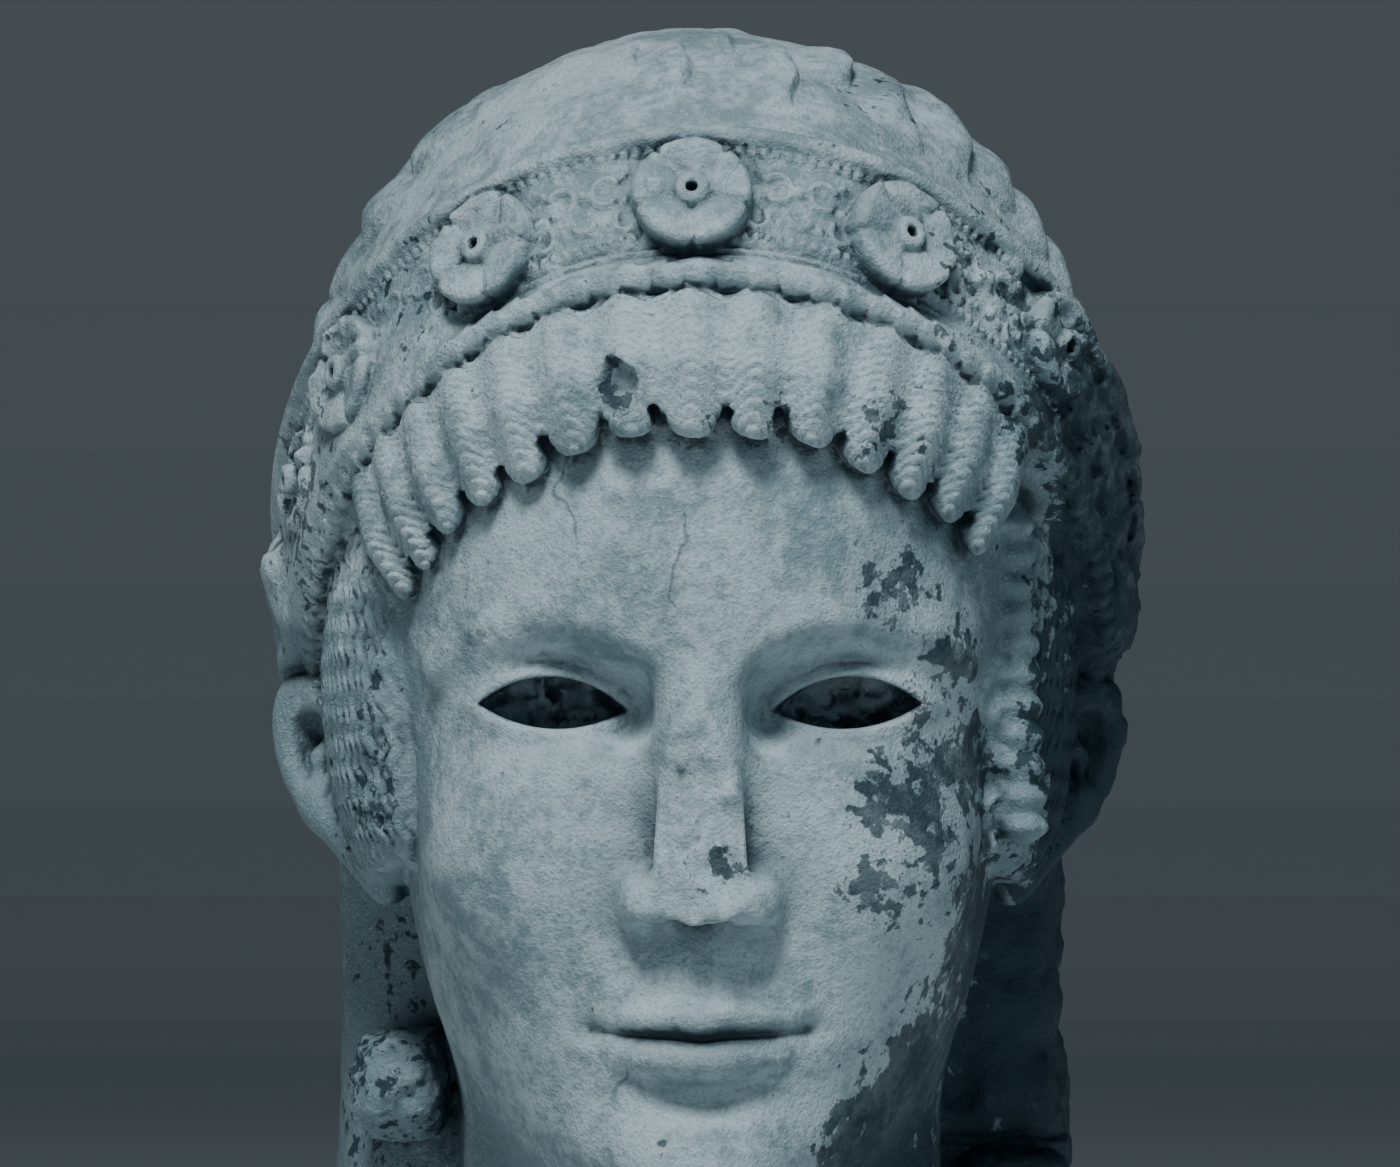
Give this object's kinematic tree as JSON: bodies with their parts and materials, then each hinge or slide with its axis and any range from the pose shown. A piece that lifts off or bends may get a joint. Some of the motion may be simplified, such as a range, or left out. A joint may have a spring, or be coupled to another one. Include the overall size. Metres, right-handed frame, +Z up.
{
  "type": "carved head of a goddess",
  "caption": "Carved marble head of a goddess in the archaic style, with a rosette diadem over crimped hair, cut flat below the neck as a bust.",
  "frame": {"origin": "on the flat underside, below the middle of the neck", "axes": "+Z up from the underside to the crown, the face looks along -Y, +X to the viewer's right"},
  "size_m": [0.196, 0.2208, 0.3501],
  "materials": {
    "marble": "weathered carved marble, dull, with dark patina"
  },
  "bodies": {
    "root": {"head": "marble"}
  },
  "joints": []
}
